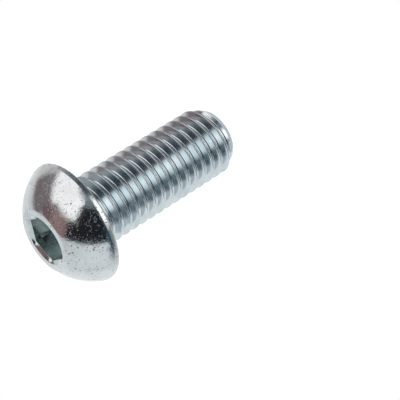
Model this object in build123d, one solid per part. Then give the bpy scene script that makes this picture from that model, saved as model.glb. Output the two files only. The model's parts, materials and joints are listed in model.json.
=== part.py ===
"""Hexagon socket button head screw, M10 x 25, threaded almost to the head.

The screw is drawn upright on the Z axis: the bearing face under the head is at height 0,
the domed head is above it and the shank points down to the tip. The finished screw is then
laid on its side, as it comes to rest: on the rim of its head and on a crest near its tip.
Sizes are in millimetres and degrees.
"""

import os
from math import atan2, ceil, degrees, hypot, radians, tan

from build123d import *
from build123d.topology import SkipClean

# Thread: metric coarse, right-hand
NOMINAL_DIAMETER = 10.0
PITCH = 1.5
CREST_WIDTH = 0.25
GROOVE_DEPTH = 0.5  # drawn shallow: rolled in full, it is 0.92 deep with a rounded bottom
THREAD_START_ANGLE = -26.0  # where round the shank the groove begins, at the tip

# Shank
LENGTH = 25.0  # from the bearing face to the tip
NECK_DIAMETER = 8.9  # the plain neck, as wide as the wire that the thread is rolled on
NECK_LENGTH = 1.4
NECK_FLARE = 0.4  # the bevel that joins the neck to the bearing face
NECK_RUNOUT = 1.5  # height over which the groove fades out at the neck
POINT_DIAMETER = 7.1
POINT_LENGTH = 2.1  # the tapered point
BARE_POINT_LENGTH = 1.5  # what the groove leaves bare at the tip
POINT_RUNOUT = 1.5  # height over which the groove fades out at the point

# Head
HEAD_DIAMETER = 17.3
HEAD_HEIGHT = 5.45
RIM_HEIGHT = 1.15  # the upright band round the edge of the head
RIM_BEVEL = 0.3  # on the edge of the bearing face
CROWN_DIAMETER = 9.1  # the flat ring round the socket

# Hexagon socket
SOCKET_WIDTH = 6.0  # across the flats
SOCKET_DEPTH = 3.15
SOCKET_SIDES = 6
SOCKET_ANGLE = 21.0  # how far one corner is turned from the top of the lying head
MOUTH_DIAMETER = 7.2
MOUTH_ANGLE = 120.0

# How the solids are made
CREST_ARCS = 10  # the crest is in short patches, this many to a turn
GROOVE_CLEARANCE = 0.06  # how far the groove's cutter stands out of the shank
CUT_CLEARANCE = 1.0  # how far the other cutters stand out

THREAD_RADIUS = NOMINAL_DIAMETER / 2
ROOT_RADIUS = THREAD_RADIUS - GROOVE_DEPTH
NECK_RADIUS = NECK_DIAMETER / 2
POINT_RADIUS = POINT_DIAMETER / 2
HEAD_RADIUS = HEAD_DIAMETER / 2
CROWN_RADIUS = CROWN_DIAMETER / 2
POINT_SLOPE = (THREAD_RADIUS - POINT_RADIUS) / POINT_LENGTH
GROOVE_START = BARE_POINT_LENGTH - LENGTH
GROOVE_END = -NECK_LENGTH
DOWNWARD = 180.0  # the side of the upright screw that faces the floor when it lies


def cone_depth(radius, angle):
    """Depth of a cone with a given radius at its wide end and a given full angle at its tip."""
    return radius / tan(radians(angle / 2))


def turned(*sides):
    """The ring or disc made by turning a closed outline about the screw's axis."""
    return revolve(Plane.XZ * make_face(sides), Axis.Z)


def head_blank():
    """The head without its socket: a slice of a ball over a short upright rim."""
    ball_height = (HEAD_RADIUS**2 + RIM_HEIGHT**2 - CROWN_RADIUS**2 - HEAD_HEIGHT**2) / (
        2 * (RIM_HEIGHT - HEAD_HEIGHT)
    )
    ball_radius = hypot(HEAD_RADIUS, RIM_HEIGHT - ball_height)
    crown_end = (CROWN_RADIUS, HEAD_HEIGHT)
    rim_top = (HEAD_RADIUS, RIM_HEIGHT)
    dome = RadiusArc(crown_end, rim_top, ball_radius)
    rim = Polyline(
        rim_top,
        (HEAD_RADIUS, RIM_BEVEL),
        (HEAD_RADIUS - RIM_BEVEL, 0),
        (0, 0),
        (0, HEAD_HEIGHT),
        crown_end,
    )
    return turned(dome, rim)


def socket():
    """The hexagon that the driving key fills, with its countersunk mouth."""
    apothem = SOCKET_WIDTH / 2
    mouth_radius = MOUTH_DIAMETER / 2
    floor_height = HEAD_HEIGHT - SOCKET_DEPTH
    outline = RegularPolygon(apothem, SOCKET_SIDES, major_radius=False, rotation=SOCKET_ANGLE)
    hexagon = Pos(0, 0, floor_height) * extrude(outline, SOCKET_DEPTH + CUT_CLEARANCE)
    mouth_tip = HEAD_HEIGHT - cone_depth(mouth_radius, MOUTH_ANGLE)
    mouth = turned(
        Polyline((0, HEAD_HEIGHT), (mouth_radius, HEAD_HEIGHT), (0, mouth_tip), close=True)
    )
    return [hexagon, mouth]


def shank_blank():
    """The shank before threading: a bar with its neck and its point turned down."""
    step = 360 / CREST_ARCS
    arcs = [
        CenterArc((0, 0), THREAD_RADIUS, index * step, step) for index in range(CREST_ARCS)
    ]
    bar_end = -LENGTH - CUT_CLEARANCE
    bar = extrude(make_face(arcs), bar_end, clean=False)
    outside = THREAD_RADIUS + CUT_CLEARANCE
    shoulder = GROOVE_END - NECK_RUNOUT
    beside_neck = turned(
        Polyline(
            (NECK_RADIUS + NECK_FLARE, 0),
            (NECK_RADIUS, -NECK_FLARE),
            (NECK_RADIUS, GROOVE_END),
            (THREAD_RADIUS, shoulder),
            (outside, shoulder),
            (outside, 0),
            close=True,
        )
    )
    beside_point = turned(
        Polyline(
            (THREAD_RADIUS, POINT_LENGTH - LENGTH),
            (POINT_RADIUS, -LENGTH),
            (0, -LENGTH),
            (0, bar_end),
            (outside, bar_end),
            (outside, POINT_LENGTH - LENGTH),
            close=True,
        )
    )
    return bar.cut(beside_neck, beside_point)


def on_helix(height):
    """The place of the groove at a height, turned about the axis as a right-hand thread is."""
    angle = THREAD_START_ANGLE + 360 * (height - GROOVE_START) / PITCH
    return Pos(0, 0, height) * Rot(0, 0, angle)


def groove_path(low, high):
    """The helix that the bottom of the groove follows between two heights."""
    return on_helix(low) * Edge.make_helix(PITCH, high - low, ROOT_RADIUS)


def groove_section(height, lift=0.0):
    """The groove's outline at a height, moved out from the axis by a lift."""
    half_mouth = (PITCH - CREST_WIDTH) / 2
    half_top = half_mouth * (1 + GROOVE_CLEARANCE / GROOVE_DEPTH)
    bottom = ROOT_RADIUS + lift
    top = THREAD_RADIUS + GROOVE_CLEARANCE + lift
    outline = Polyline((top, -half_top), (bottom, 0), (top, half_top), close=True)
    return on_helix(height) * (Plane.XZ * outline).wire()


def groove_turns(low, high):
    """The cutters for the full groove between two heights, each a turn of it or a little less."""
    count = ceil((high - low) / PITCH)
    rise = (high - low) / count
    return [
        Solid.sweep(
            groove_section(low + index * rise),
            groove_path(low + index * rise, low + (index + 1) * rise),
            is_frenet=True,
        )
        for index in range(count)
    ]


def thread_groove():
    """All the cutters for the groove, which fades out at the point and at the neck."""
    full_start = GROOVE_START + POINT_RUNOUT
    full_end = GROOVE_END - NECK_RUNOUT
    faded = GROOVE_DEPTH + GROOVE_CLEARANCE
    fade_in = Solid.sweep_multi(
        [groove_section(GROOVE_START, faded), groove_section(full_start)],
        groove_path(GROOVE_START, full_start),
        is_frenet=True,
    )
    fade_out = Solid.sweep_multi(
        [groove_section(full_end), groove_section(GROOVE_END, faded)],
        groove_path(full_end, GROOVE_END),
        is_frenet=True,
    )
    return [fade_in, *groove_turns(full_start, full_end), fade_out]


def upright_screw():
    """The whole screw, standing on its tip."""
    # The faces stay as they are cut: merging them would join the crest's patches into one strip
    with SkipClean():
        shank = shank_blank().cut(*thread_groove())
        return shank.fuse(head_blank()).cut(*socket())


def rest_tilt():
    """The angle between the axis and the floor, with the rim and a crest both touching it."""
    first_crest = GROOVE_START + PITCH * ((DOWNWARD - THREAD_START_ANGLE) / 360 + 1 / 2)
    leans = []
    for turn in range(ceil(LENGTH / PITCH)):
        height = first_crest + turn * PITCH - CREST_WIDTH / 2
        radius = min(THREAD_RADIUS, POINT_RADIUS + POINT_SLOPE * (height + LENGTH))
        leans.append(atan2(HEAD_RADIUS - radius, RIM_BEVEL - height))
    return degrees(min(leans))


def lying_screw():
    """The screw as it rests: on its side, its tip toward +X, the middle of its box over the origin."""
    lying = Rot(0, rest_tilt() - 90, 0) * upright_screw()
    box = lying.bounding_box()
    return Pos(-box.center().X, 0, -box.min.Z) * lying


if __name__ == "__main__":
    os.makedirs("parts", exist_ok=True)
    export_step(lying_screw(), "parts/screw.step")
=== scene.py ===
import json
from math import atan2, ceil, cos, degrees, hypot, pi, radians, sin, tan
from typing import NamedTuple

import bpy
import numpy as np
from mathutils import Matrix, Vector


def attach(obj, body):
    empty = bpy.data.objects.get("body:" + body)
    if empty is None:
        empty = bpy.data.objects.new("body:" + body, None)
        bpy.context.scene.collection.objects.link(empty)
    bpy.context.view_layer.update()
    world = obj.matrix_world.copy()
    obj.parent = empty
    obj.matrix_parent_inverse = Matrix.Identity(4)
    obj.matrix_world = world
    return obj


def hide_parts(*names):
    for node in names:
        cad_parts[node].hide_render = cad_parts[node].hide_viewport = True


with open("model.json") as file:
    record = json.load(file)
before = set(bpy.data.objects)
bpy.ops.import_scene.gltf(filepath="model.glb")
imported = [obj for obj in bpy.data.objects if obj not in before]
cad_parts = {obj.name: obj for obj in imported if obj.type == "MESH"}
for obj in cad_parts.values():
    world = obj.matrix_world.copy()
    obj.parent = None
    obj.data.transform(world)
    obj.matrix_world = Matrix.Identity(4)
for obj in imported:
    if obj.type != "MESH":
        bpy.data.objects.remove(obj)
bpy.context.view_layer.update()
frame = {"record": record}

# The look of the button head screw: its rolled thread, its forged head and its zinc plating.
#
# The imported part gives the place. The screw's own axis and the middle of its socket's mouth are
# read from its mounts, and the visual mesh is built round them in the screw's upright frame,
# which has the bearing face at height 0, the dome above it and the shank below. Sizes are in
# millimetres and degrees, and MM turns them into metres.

MM = 0.001

# Thread: M10 x 1.5, rolled
THREAD_RADIUS = 5.0
PITCH = 1.5
ROOT_DEPTH = 0.875
ROOT_ROUNDING = 0.2165  # 0.144 of the pitch
FLANK_ANGLE = 30.0  # of a flank, from square to the axis
CREST_WIDTH = 0.24
SEAM_WIDTH = 0.1  # the seam that rolling leaves along the crest
SEAM_DEPTH = 0.06
LIP_ROUNDING = 0.08  # the crest's two edges
THREAD_START_ANGLE = -26.0

# Shank
LENGTH = 25.0
BARE_POINT_LENGTH = 1.5  # from the tip to the height that THREAD_START_ANGLE is given for
POINT_RADIUS = 3.8
POINT_LENGTH = 2.05
POINT_ROUNDING = 0.6
NECK_RADIUS = 4.45
NECK_LENGTH = 1.1
NECK_RUNOUT = 0.8
NECK_ROUNDING = 0.4

# Head
HEAD_RADIUS = 8.648
HEAD_HEIGHT = 5.45
RIM_HEIGHT = 0.85
RIM_BEVEL = 0.24
RIM_ROUNDING = 0.4
DOME_ROUNDING = 0.2
CROWN_RADIUS = 4.55
CROWN_ROUNDING = 0.4

# Socket
SOCKET_APOTHEM = 3.0
SOCKET_SIDES = 6
SOCKET_ANGLE = 21.0
SOCKET_DEPTH = 3.15
FLOOR_ROUNDING = 0.25
MOUTH_RADIUS = 3.65
MOUTH_ANGLE = 60.0  # of the countersink, from the axis
MOUTH_ROUNDING = 0.1
EDGE_DEPTH = 0.34  # of the walls' top edges, below the crown
EDGE_BEVEL = 0.06

# Mesh
COLUMNS = 144  # round the axis, a multiple of the socket's sides
ARC_STEP = 10.0  # degrees between the points of a rounding
THREAD_ARC_STEP = 24.0
FLOOR_ARC_STEP = 30.0
DOME_STEP = 0.22  # millimetres between the points of the dome
SUPPORT = 0.02  # how near to an arc an extra row keeps the straight stretch beside it straight
CONE_ROWS = 3
WALL_ROWS = 4
FLOOR_ROWS = 5
TIP_ROWS = 5
SPARE_TURNS = 2  # of rows, which start below and end above the threaded stretch
SHARP_ANGLE = 32.0  # an edge that turns more than this is shaded as an edge

# Camera
CAMERA_AZIMUTH = -42.34  # 0 looks along +Y
CAMERA_ELEVATION = 57.454
CAMERA_DISTANCE = 177.316
CAMERA_TARGET = (4.796, -8.172, 8.0)
SENSOR_WIDTH = 36.0
LENS = 119.74
CLIP_START = 10.0


class Plating(NamedTuple):
    """The zinc on one part of the screw."""

    pale: tuple  # its two tints, in clouds
    deep: tuple
    roughness: float
    ripple: float  # height of its waves, in millimetres
    grain: float  # depth of its dents and pits, in millimetres
    specks: float  # how much of it is pitted


# The materials of the screw, in the order that screw_surface numbers them
PLATINGS = {
    "zinc_shank": Plating(
        pale=(0.575, 0.63, 0.655),
        deep=(0.50, 0.565, 0.60),
        roughness=0.18,
        ripple=0.0005,
        grain=0.0009,
        specks=0.3,
    ),
    "zinc_head": Plating(
        pale=(0.55, 0.595, 0.615),
        deep=(0.49, 0.53, 0.55),
        roughness=0.13,
        ripple=0.008,
        grain=0.012,
        specks=1.4,
    ),
    "zinc_rim": Plating(
        pale=(0.56, 0.585, 0.59),
        deep=(0.48, 0.50, 0.50),
        roughness=0.22,
        ripple=0.008,
        grain=0.015,
        specks=1.8,
    ),
    # The socket's zinc has a deep tint well below the rest of the zinc: painted shade in the
    # socket's hollow, over the zinc's own clouds
    "zinc_socket_painted_shade": Plating(
        pale=(0.54, 0.60, 0.605),
        deep=(0.39, 0.445, 0.455),
        roughness=0.16,
        ripple=0.0008,
        grain=0.0006,
        specks=0.2,
    ),
}

# The noises in the plating, each with its features to a millimetre
NOISE_ROUGHNESS = 0.55
COLOUR_DETAIL = 3.0
RELIEF_DETAIL = 2.0
CLOUDS_PER_MM = 0.35
CLOUD_RANGE = (0.38, 0.62)  # of the noise, from the one tint to the other
PITS_PER_MM = 4.6
PIT_PATCHES_PER_MM = 0.5  # where pits lie closer together
PIT_PATCHES_SHARE = 0.35
PIT_RANGE = (0.875, 0.945)  # of the noise, from clean zinc to a pit, where there are no specks
PIT_RANGE_DROP = 0.06  # what specks of 1 take off that range
PIT_TINT = 0.25  # of the deep tint
PIT_ROUGHNESS = 0.3  # added in a pit
SHEEN_PER_MM = 1.3
SHEEN_RANGE = (0.3, 0.7)
SHEEN_SHARES = (0.8, 1.25)  # of the plating's roughness
WAVES_PER_MM = 1.1
DENTS_PER_MM = 3.2


class Patch(NamedTuple):
    """A patch of the room, in azimuths from +X toward +Y and in elevations."""

    azimuths: tuple
    elevations: tuple
    softness: tuple  # of its two sides, and of its top and bottom
    colour: tuple


# The room round the screw. Azimuths run one full turn on from the seam, and a patch that reaches
# past either end of them has no edge there. A later patch covers an earlier one.
ROOM_SEAM = -108.0
ROOM_COLOUR = (0.25, 0.29, 0.32)
ROOM = {
    "table": Patch(
        azimuths=(-150, 400),
        elevations=(-100, 2),
        softness=(3, 3),
        colour=(1.02, 1.03, 1.03),
    ),
    "right end of the table": Patch(
        azimuths=(-55, 62),
        elevations=(-60, 2),
        softness=(10, 3),
        colour=(0.72, 0.76, 0.78),
    ),
    "left end of the table": Patch(
        azimuths=(62, 190),
        elevations=(-24, 2),
        softness=(8, 3),
        colour=(0.94, 0.87, 0.85),
    ),
    "grey wall on the right": Patch(
        azimuths=(62, 104),
        elevations=(3, 40),
        softness=(8, 8),
        colour=(0.76, 0.71, 0.71),
    ),
    "dark wall on the right": Patch(
        azimuths=(-8, 44),
        elevations=(8, 92),
        softness=(8, 7),
        colour=(0.07, 0.09, 0.105),
    ),
    "dark blue wall in front": Patch(
        azimuths=(-150, -80),
        elevations=(-29, 41),
        softness=(8, 16),
        colour=(0.058, 0.114, 0.16),
    ),
    "right end of the blue wall": Patch(
        azimuths=(-90, -62),
        elevations=(-26, 16),
        softness=(8, 14),
        colour=(0.06, 0.11, 0.15),
    ),
    "right-hand softbox": Patch(
        azimuths=(-62, -13),
        elevations=(14, 57),
        softness=(6, 8),
        colour=(1.8, 1.75, 1.7),
    ),
    "bright middle of that softbox": Patch(
        azimuths=(-62, -13),
        elevations=(27, 45),
        softness=(6, 12),
        colour=(2.7, 2.65, 2.6),
    ),
    "warm wall on the left": Patch(
        azimuths=(97, 140),
        elevations=(-13, 30),
        softness=(4, 4),
        colour=(0.28, 0.225, 0.228),
    ),
    "middle of the warm wall": Patch(
        azimuths=(138, 192),
        elevations=(2, 34),
        softness=(4, 4),
        colour=(0.225, 0.13, 0.135),
    ),
    "lit end of the warm wall": Patch(
        azimuths=(157, 192),
        elevations=(2, 34),
        softness=(8, 4),
        colour=(0.4, 0.235, 0.225),
    ),
    "dark room behind the camera": Patch(
        azimuths=(187, 400),
        elevations=(4, 62),
        softness=(3, 3),
        colour=(0.02, 0.02, 0.025),
    ),
    "left-hand softbox": Patch(
        azimuths=(84, 198),
        elevations=(35, 74),
        softness=(5, 6),
        colour=(1.6, 1.5, 1.46),
    ),
    "lower corner of that softbox": Patch(
        azimuths=(84, 146),
        elevations=(27, 40),
        softness=(5, 5),
        colour=(1.6, 1.5, 1.46),
    ),
}
BACKDROP_COLOUR = (1.0, 1.0, 1.0)  # what the camera sees in place of the room

# Floor: an oval that glows evenly
FLOOR_LENGTH = 42.0
FLOOR_WIDTH = 36.0
FLOOR_SIDES = 96
FLOOR_COLOUR = (0.35, 0.35, 0.35)
FLOOR_ROUGHNESS = 0.9
FLOOR_LIGHT = (1.0, 1.0, 1.0)
FLOOR_STRENGTH = 0.9


# ---------------------------------------------------------------- outlines


def arc(centre, radius, start, end, step=ARC_STEP):
    """Points on an arc between two angles, both ends among them."""
    count = max(1, ceil(abs(end - start) / step))
    angles = np.radians(np.linspace(start, end, count + 1))
    return [(centre[0] + radius * cos(a), centre[1] + radius * sin(a)) for a in angles]


def rounded(corners, step=ARC_STEP):
    """An outline through (x, y, rounding) corners, each turned into an arc of its rounding."""
    points = []
    for index, (x, y, rounding) in enumerate(corners):
        if not rounding:
            points.append((x, y))
            continue
        here = np.array((x, y))
        back = np.array(corners[index - 1][:2]) - here
        ahead = np.array(corners[index + 1][:2]) - here
        back /= np.linalg.norm(back)
        ahead /= np.linalg.norm(ahead)
        half = np.arccos(back @ ahead) / 2
        inward = (back + ahead) / np.linalg.norm(back + ahead)
        centre = here + inward * rounding / sin(half)
        first = here + back * rounding / tan(half) - centre
        last = here + ahead * rounding / tan(half) - centre
        start = degrees(atan2(first[1], first[0]))
        turn = (degrees(atan2(last[1], last[0])) - start + 180) % 360 - 180
        points.extend(arc(centre, rounding, start, start + turn, step))
    return points


def between(first, last, count):
    """The points that cut a straight stretch into a count of equal parts, without its ends."""
    return [
        tuple(a + (b - a) * part / count for a, b in zip(first, last)) for part in range(1, count)
    ]


def along(first, last, distance):
    """The point at a distance from one point on the way to another."""
    share = distance / hypot(last[0] - first[0], last[1] - first[1])
    return tuple(a + (b - a) * share for a, b in zip(first, last))


def thread_outline():
    """(offset along the axis, radius) over one pitch, from one root to the next."""
    arc_radius = THREAD_RADIUS - ROOT_DEPTH + ROOT_ROUNDING
    root = arc((PITCH / 2, arc_radius), ROOT_ROUNDING, 180 + FLANK_ANGLE, 270, THREAD_ARC_STEP)
    lip = rounded(
        [
            (0, THREAD_RADIUS, 0),
            (CREST_WIDTH / 2, THREAD_RADIUS, LIP_ROUNDING),
            (*root[0], 0),
        ],
        THREAD_ARC_STEP,
    )
    seam = [
        (0, THREAD_RADIUS - SEAM_DEPTH),
        (SEAM_WIDTH / 2, THREAD_RADIUS),
        (SEAM_WIDTH / 2 + SUPPORT, THREAD_RADIUS),
    ]
    flank = [along(lip[-2], root[0], SUPPORT), along(root[0], lip[-2], SUPPORT)]
    half = seam + lip[1:-1] + flank + root
    return [(-offset, radius) for offset, radius in reversed(half[1:])] + half


def tip_outline():
    """(radius, height) from the middle of the tip's face to where the taper begins."""
    corners = [
        (0, -LENGTH, 0),
        (POINT_RADIUS, -LENGTH, POINT_ROUNDING),
        (THREAD_RADIUS, POINT_LENGTH - LENGTH, 0),
    ]
    points = rounded(corners)
    return between(points[0], points[1], TIP_ROWS) + points[1:-1]


def dome_corners():
    """Corners along the dome from the rim to the crown, on a ball centred on the axis."""
    ball_height = (HEAD_RADIUS**2 + RIM_HEIGHT**2 - CROWN_RADIUS**2 - HEAD_HEIGHT**2) / (
        2 * (RIM_HEIGHT - HEAD_HEIGHT)
    )
    radius = hypot(HEAD_RADIUS, RIM_HEIGHT - ball_height)
    start = degrees(atan2(RIM_HEIGHT - ball_height, HEAD_RADIUS))
    end = degrees(atan2(HEAD_HEIGHT - ball_height, CROWN_RADIUS))
    points = arc((0, ball_height), radius, start, end, degrees(DOME_STEP / radius))
    return [(x, y, 0) for x, y in points[1:-1]]


def cone_height(radius):
    """Height of the countersunk mouth's cone at a radius."""
    return HEAD_HEIGHT - (MOUTH_RADIUS - radius) / tan(radians(MOUTH_ANGLE))


def head_outline():
    """(radius, height) from the neck round the head to just inside the socket's mouth."""
    corners = [
        (NECK_RADIUS, -NECK_LENGTH, 0),
        (NECK_RADIUS, 0, NECK_ROUNDING),
        (HEAD_RADIUS - RIM_BEVEL, 0, RIM_ROUNDING),
        (HEAD_RADIUS, RIM_BEVEL, RIM_ROUNDING),
        (HEAD_RADIUS, RIM_HEIGHT, DOME_ROUNDING),
        *dome_corners(),
        (CROWN_RADIUS, HEAD_HEIGHT, CROWN_ROUNDING),
        (MOUTH_RADIUS, HEAD_HEIGHT, MOUTH_ROUNDING),
        (0, cone_height(0), 0),
    ]
    return rounded(corners)[1:-1]


# ---------------------------------------------------------------- the screw's surface


def column_angles():
    """The angle of each column of the mesh, with one column along each corner of the socket."""
    return SOCKET_ANGLE + np.arange(COLUMNS) * 360 / COLUMNS


def hexagon_radii():
    """The socket's own radius at each column."""
    side = 360 / SOCKET_SIDES
    from_corner = (column_angles() - SOCKET_ANGLE) % side
    return SOCKET_APOTHEM / np.cos(np.radians(from_corner - side / 2))


def ring(radius, height):
    """One ring of points, where radius and height are numbers or have a value for each column."""
    angles = np.radians(column_angles())
    return np.stack(
        [radius * np.cos(angles), radius * np.sin(angles), np.broadcast_to(height, COLUMNS)], 1
    )


def socket_rings(start_radius):
    """Rings from just inside the mouth, down the cone and the six walls, over the floor."""
    corner = hexagon_radii()
    floor_height = HEAD_HEIGHT - SOCKET_DEPTH
    rings = []
    start_height = cone_height(start_radius)
    edge_height = HEAD_HEIGHT - EDGE_DEPTH
    for row in range(1, CONE_ROWS + 1):
        radius = start_radius + (corner + EDGE_BEVEL - start_radius) * row / CONE_ROWS
        rings.append(ring(radius, start_height + (edge_height - start_height) * row / CONE_ROWS))
    wall_top = edge_height - EDGE_BEVEL
    rings.append(ring(corner, wall_top))
    wall_foot = floor_height + FLOOR_ROUNDING
    for row in range(1, WALL_ROWS + 1):
        rings.append(ring(corner, wall_top + (wall_foot - wall_top) * row / WALL_ROWS))
    foot = arc((FLOOR_ROUNDING, wall_foot), FLOOR_ROUNDING, 180, 270, FLOOR_ARC_STEP)
    for inward, height in foot[1:]:
        rings.append(ring(corner * (1 - inward / SOCKET_APOTHEM), height))
    floor_share = 1 - FLOOR_ROUNDING / SOCKET_APOTHEM
    for row in range(1, FLOOR_ROWS):
        rings.append(ring(corner * floor_share * (1 - row / FLOOR_ROWS), floor_height))
    return rings


def shank_radius(radius, height):
    """The thread's outline where the groove fades out and the neck and the point cut it down."""
    groove_high = -NECK_LENGTH - NECK_RUNOUT
    lift = ROOT_DEPTH * (height - groove_high) / NECK_RUNOUT
    neck_slope = (THREAD_RADIUS - NECK_RADIUS) / NECK_RUNOUT
    point_slope = (THREAD_RADIUS - POINT_RADIUS) / POINT_LENGTH
    neck = NECK_RADIUS + neck_slope * (-NECK_LENGTH - height)
    point = POINT_RADIUS + point_slope * (height + LENGTH)
    threaded = radius + np.maximum(lift, 0)
    return np.minimum(np.minimum(threaded, THREAD_RADIUS), np.minimum(neck, point))


class Surface:
    """The points and faces of one closed mesh, grown ring by ring."""

    def __init__(self):
        self.points = []
        self.faces = []
        self.materials = []

    def add_points(self, points):
        """Adds points and returns their indices."""
        first = len(self.points)
        self.points.extend(map(tuple, points))
        return np.arange(first, len(self.points))

    def add_face(self, corners, material):
        """Adds a face through corners, where a corner that repeats the one before is dropped."""
        kept = [c for i, c in enumerate(corners) if c != corners[i - 1]]
        if len(kept) > 2:
            self.faces.append(kept)
            self.materials.append(material)

    def join(self, below, above, material):
        """Faces between two rows of indices, which close if each ends with its first index."""
        for column in range(len(below) - 1):
            corners = [below[column], below[column + 1], above[column + 1], above[column]]
            self.add_face([int(c) for c in corners], material)

    def join_rings(self, below, above, material):
        """Faces between two closed rings."""
        self.join(np.append(below, below[0]), np.append(above, above[0]), material)

    def cap(self, centre, around, material):
        """Triangles between a middle point and a ring, which faces the way the ring turns."""
        for column in range(len(around)):
            self.faces.append([int(centre), int(around[column - 1]), int(around[column])])
            self.materials.append(material)


def add_thread(surface, low_ring, high_ring, low, high, material):
    """The threaded stretch between two rings, with rows of points that climb with the thread."""
    angles = column_angles()
    outline = thread_outline()[:-1]
    turns = range(-SPARE_TURNS, ceil((high - low) / PITCH) + SPARE_TURNS)
    crest_heights = BARE_POINT_LENGTH - LENGTH + PITCH * (
        (angles - THREAD_START_ANGLE) / 360 + 1 / 2
    )
    rows = []
    for turn in turns:
        for offset, radius in outline:
            heights = crest_heights + turn * PITCH + offset
            points = ring(shank_radius(radius, heights), heights)
            inside = (heights > low) & (heights < high)
            row = np.where(heights <= low, low_ring, high_ring)
            row[inside] = surface.add_points(points[inside])
            rows.append(row)
    # After one turn round the axis, each row goes on as the row that lies a pitch above it
    for index in range(len(rows) - len(outline) - 1):
        below = np.append(rows[index], rows[index + len(outline)][0])
        above = np.append(rows[index + 1], rows[index + 1 + len(outline)][0])
        surface.join(below, above, material)


def screw_surface():
    """The whole screw's surface in its upright frame, from the tip to the socket's floor."""
    surface = Surface()
    shank, head, rim, socket = range(len(PLATINGS))

    tip = tip_outline()
    rings = [surface.add_points(ring(*point)) for point in tip]
    centre = surface.add_points([(0, 0, -LENGTH)])[0]
    surface.cap(centre, rings[0][::-1], shank)
    for below, above in zip(rings, rings[1:]):
        surface.join_rings(below, above, shank)

    high_ring = surface.add_points(ring(NECK_RADIUS, -NECK_LENGTH))
    add_thread(surface, rings[-1], high_ring, tip[-1][1], -NECK_LENGTH, shank)

    below = high_ring
    outline = head_outline()
    for radius, height in outline:
        above = surface.add_points(ring(radius, height))
        if height <= RIM_HEIGHT and radius > HEAD_RADIUS - RIM_BEVEL:
            material = rim
        elif height <= 0:
            material = shank  # the bearing face is as clean as the shank
        else:
            material = head
        surface.join_rings(below, above, material)
        below = above

    # The socket is drawn in the zinc whose darker tint is painted shade in the hollow
    for points in socket_rings(outline[-1][0]):
        above = surface.add_points(points)
        surface.join_rings(below, above, socket)
        below = above
    centre = surface.add_points([(0, 0, HEAD_HEIGHT - SOCKET_DEPTH)])[0]
    surface.cap(centre, below, socket)
    return surface


# ---------------------------------------------------------------- materials


def node(tree, kind, **settings):
    """A new shader node, with its sockets set by name and its other settings by attribute."""
    made = tree.nodes.new(kind)
    for name, value in settings.items():
        if name in made.inputs:
            made.inputs[name].default_value = value
        else:
            setattr(made, name, value)
    return made


def noise(tree, place, per_mm, detail):
    """Fractal noise of a given number of features to a millimetre."""
    made = node(
        tree,
        "ShaderNodeTexNoise",
        Scale=per_mm / MM,
        Detail=detail,
        Roughness=NOISE_ROUGHNESS,
    )
    tree.links.new(place, made.inputs["Vector"])
    return made.outputs["Fac"]


def remap(tree, value, old_range, new_range):
    """A value stretched from one range to another, and held within it."""
    made = node(tree, "ShaderNodeMapRange")
    for index, number in enumerate((*old_range, *new_range), start=1):
        made.inputs[index].default_value = number
    tree.links.new(value, made.inputs["Value"])
    return made.outputs["Result"]


def combine(tree, operation, first, second):
    """Two values, links or numbers, put together by a Math node."""
    made = node(tree, "ShaderNodeMath", operation=operation)
    for socket, value in zip(made.inputs, (first, second)):
        if isinstance(value, (int, float)):
            socket.default_value = value
        else:
            tree.links.new(value, socket)
    return made.outputs[0]


def mix(tree, factor, first, second):
    """A colour between two, by a factor that is a link."""
    made = node(tree, "ShaderNodeMix", data_type="RGBA")
    tree.links.new(factor, made.inputs["Factor"])
    for name, colour in (("A", first), ("B", second)):
        socket = [s for s in made.inputs if s.name == name and s.type == "RGBA"][0]
        if isinstance(colour, tuple):
            socket.default_value = (*colour, 1)
        else:
            tree.links.new(colour, socket)
    return [s for s in made.outputs if s.type == "RGBA"][0]


def zinc_pits(tree, place, specks):
    """1 in the pits that show as dark specks, and 0 on clean zinc."""
    patches = noise(tree, place, PIT_PATCHES_PER_MM, COLOUR_DETAIL)
    patches = combine(tree, "MULTIPLY", patches, PIT_PATCHES_SHARE)
    pitting = combine(tree, "ADD", noise(tree, place, PITS_PER_MM, COLOUR_DETAIL), patches)
    pit_range = [limit - PIT_RANGE_DROP * specks for limit in PIT_RANGE]
    return remap(tree, pitting, pit_range, (0, 1))


def zinc_colour(tree, place, pits, plating):
    """Two tints in clouds, and a darker one in the pits."""
    clouds = remap(tree, noise(tree, place, CLOUDS_PER_MM, COLOUR_DETAIL), CLOUD_RANGE, (0, 1))
    dark = tuple(PIT_TINT * c for c in plating.deep)
    return mix(tree, pits, mix(tree, clouds, plating.pale, plating.deep), dark)


def zinc_roughness(tree, place, pits, plating):
    """A sheen that varies a little, and dull pits."""
    shares = [share * plating.roughness for share in SHEEN_SHARES]
    sheen = remap(tree, noise(tree, place, SHEEN_PER_MM, COLOUR_DETAIL), SHEEN_RANGE, shares)
    return combine(tree, "ADD", sheen, combine(tree, "MULTIPLY", pits, PIT_ROUGHNESS))


def zinc_relief(tree, place, pits, plating):
    """The normal of a surface with waves, dents and pits."""
    waves = noise(tree, place, WAVES_PER_MM, RELIEF_DETAIL)
    waves = combine(tree, "MULTIPLY", waves, plating.ripple)
    dents = noise(tree, place, DENTS_PER_MM, RELIEF_DETAIL)
    dents = combine(tree, "MULTIPLY", dents, plating.grain)
    depth = combine(tree, "MULTIPLY", pits, plating.grain)
    height = combine(tree, "SUBTRACT", combine(tree, "ADD", waves, dents), depth)
    bump = node(tree, "ShaderNodeBump", Distance=MM)
    tree.links.new(height, bump.inputs["Height"])
    return bump.outputs["Normal"]


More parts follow.
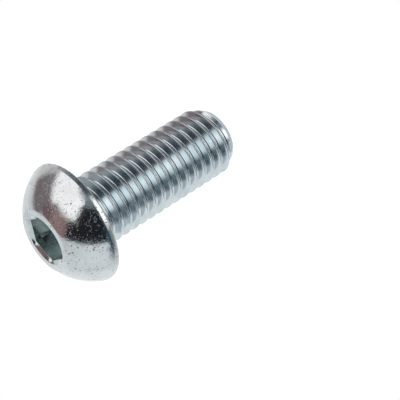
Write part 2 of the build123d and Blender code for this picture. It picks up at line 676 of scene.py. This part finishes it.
def zinc(name, plating):
    """Bright zinc plating as a material."""
    material = bpy.data.materials.new(name)
    material.use_nodes = True
    tree = material.node_tree
    shader = tree.nodes["Principled BSDF"]
    shader.inputs["Metallic"].default_value = 1.0
    place = node(tree, "ShaderNodeTexCoord").outputs["Object"]
    pits = zinc_pits(tree, place, plating.specks)
    tree.links.new(zinc_colour(tree, place, pits, plating), shader.inputs["Base Color"])
    tree.links.new(zinc_roughness(tree, place, pits, plating), shader.inputs["Roughness"])
    tree.links.new(zinc_relief(tree, place, pits, plating), shader.inputs["Normal"])
    return material


# ---------------------------------------------------------------- placing


def lying_place():
    """The matrix from the screw's upright frame to the lying part, read from its mounts."""
    mounts = {mount["name"]: mount for mount in frame["record"]["mounts"]}
    upward = Vector(mounts["socket"]["axis"]).normalized()
    mouth = Vector(mounts["socket"]["pos_m"])
    across = Vector((0, 1, 0))
    turned = Matrix((across.cross(upward), across, upward)).transposed()
    origin = mouth - upward * HEAD_HEIGHT * MM
    return Matrix.Translation(origin) @ turned.to_4x4() @ Matrix.Scale(MM, 4)


def make_screw():
    """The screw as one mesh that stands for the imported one."""
    surface = screw_surface()
    mesh = bpy.data.meshes.new("button_head_screw")
    mesh.from_pydata(surface.points, [], surface.faces)
    mesh.transform(lying_place())
    for name, plating in PLATINGS.items():
        mesh.materials.append(zinc(name, plating))
    mesh.polygons.foreach_set("material_index", surface.materials)
    mesh.polygons.foreach_set("use_smooth", [True] * len(mesh.polygons))
    mesh.set_sharp_from_angle(angle=radians(SHARP_ANGLE))
    screw = bpy.data.objects.new("button_head_screw", mesh)
    bpy.context.scene.collection.objects.link(screw)
    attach(screw, "root")
    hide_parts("screw")


# ---------------------------------------------------------------- studio


def floor_material():
    """A matt white that also glows evenly."""
    material = bpy.data.materials.new("floor_white")
    material.use_nodes = True
    shader = material.node_tree.nodes["Principled BSDF"]
    shader.inputs["Base Color"].default_value = (*FLOOR_COLOUR, 1)
    shader.inputs["Roughness"].default_value = FLOOR_ROUGHNESS
    shader.inputs["Emission Color"].default_value = (*FLOOR_LIGHT, 1)
    shader.inputs["Emission Strength"].default_value = FLOOR_STRENGTH
    return material


def make_floor():
    """A plain pale floor under the screw."""
    angles = np.radians(np.arange(FLOOR_SIDES) * 360 / FLOOR_SIDES)
    half_length = FLOOR_LENGTH / 2 * MM
    half_width = FLOOR_WIDTH / 2 * MM
    corners = [(half_length * cos(a), half_width * sin(a), 0) for a in angles]
    mesh = bpy.data.meshes.new("floor")
    mesh.from_pydata(corners, [], [range(FLOOR_SIDES)])
    mesh.materials.append(floor_material())
    floor = bpy.data.objects.new("floor", mesh)
    bpy.context.scene.collection.objects.link(floor)


def window(tree, value, limits, softness):
    """1 where a value is between two limits and 0 outside them, with soft edges."""
    shares = []
    for limit, before, after in zip(limits, (0, 1), (1, 0)):
        made = node(tree, "ShaderNodeMapRange", interpolation_type="SMOOTHSTEP")
        made.inputs["From Min"].default_value = radians(limit - softness)
        made.inputs["From Max"].default_value = radians(limit + softness)
        made.inputs["To Min"].default_value = before
        made.inputs["To Max"].default_value = after
        tree.links.new(value, made.inputs["Value"])
        shares.append(made.outputs["Result"])
    return combine(tree, "MULTIPLY", *shares)


def room_angles(tree):
    """The azimuth, from the seam on, and the elevation of the direction that is looked in."""
    direction = node(tree, "ShaderNodeTexCoord").outputs["Generated"]
    split = node(tree, "ShaderNodeSeparateXYZ")
    tree.links.new(direction, split.inputs["Vector"])
    # Turned, so that the arctangent jumps at the seam
    seam = radians(ROOM_SEAM)
    turned = node(tree, "ShaderNodeVectorRotate", rotation_type="Z_AXIS", Angle=pi - seam)
    tree.links.new(direction, turned.inputs["Vector"])
    turned_split = node(tree, "ShaderNodeSeparateXYZ")
    tree.links.new(turned.outputs["Vector"], turned_split.inputs["Vector"])
    around = combine(tree, "ARCTAN2", turned_split.outputs["Y"], turned_split.outputs["X"])
    azimuth = combine(tree, "ADD", around, pi + seam)
    elevation = combine(tree, "ARCSINE", split.outputs["Z"], 0.0)
    return azimuth, elevation


def make_room():
    """The studio round the screw: soft boxes, coloured walls and the dark side of the room."""
    world = bpy.data.worlds.new("room")
    world.use_nodes = True
    tree = world.node_tree
    azimuth, elevation = room_angles(tree)
    colour = ROOM_COLOUR
    for patch in ROOM.values():
        side_softness, level_softness = patch.softness
        across = window(tree, azimuth, patch.azimuths, side_softness)
        upward = window(tree, elevation, patch.elevations, level_softness)
        share = combine(tree, "MULTIPLY", across, upward)
        colour = mix(tree, share, colour, patch.colour)
    seen = node(tree, "ShaderNodeLightPath").outputs["Is Camera Ray"]
    colour = mix(tree, seen, colour, BACKDROP_COLOUR)
    tree.links.new(colour, tree.nodes["Background"].inputs["Color"])
    bpy.context.scene.world = world
    bpy.context.scene.view_settings.view_transform = "Standard"


def make_camera():
    """The camera, at the angle that the screw is seen from."""
    camera = bpy.data.objects.new("camera", bpy.data.cameras.new("camera"))
    azimuth = radians(CAMERA_AZIMUTH)
    elevation = radians(CAMERA_ELEVATION)
    back = Vector(
        (sin(azimuth) * cos(elevation), -cos(azimuth) * cos(elevation), sin(elevation))
    )
    camera.location = (Vector(CAMERA_TARGET) + back * CAMERA_DISTANCE) * MM
    camera.rotation_mode = "QUATERNION"
    camera.rotation_quaternion = (-back).to_track_quat("-Z", "Y")
    camera.data.sensor_width = SENSOR_WIDTH
    camera.data.lens = LENS
    camera.data.clip_start = CLIP_START * MM
    bpy.context.scene.collection.objects.link(camera)
    bpy.context.scene.camera = camera


make_screw()
make_floor()
make_room()
make_camera()
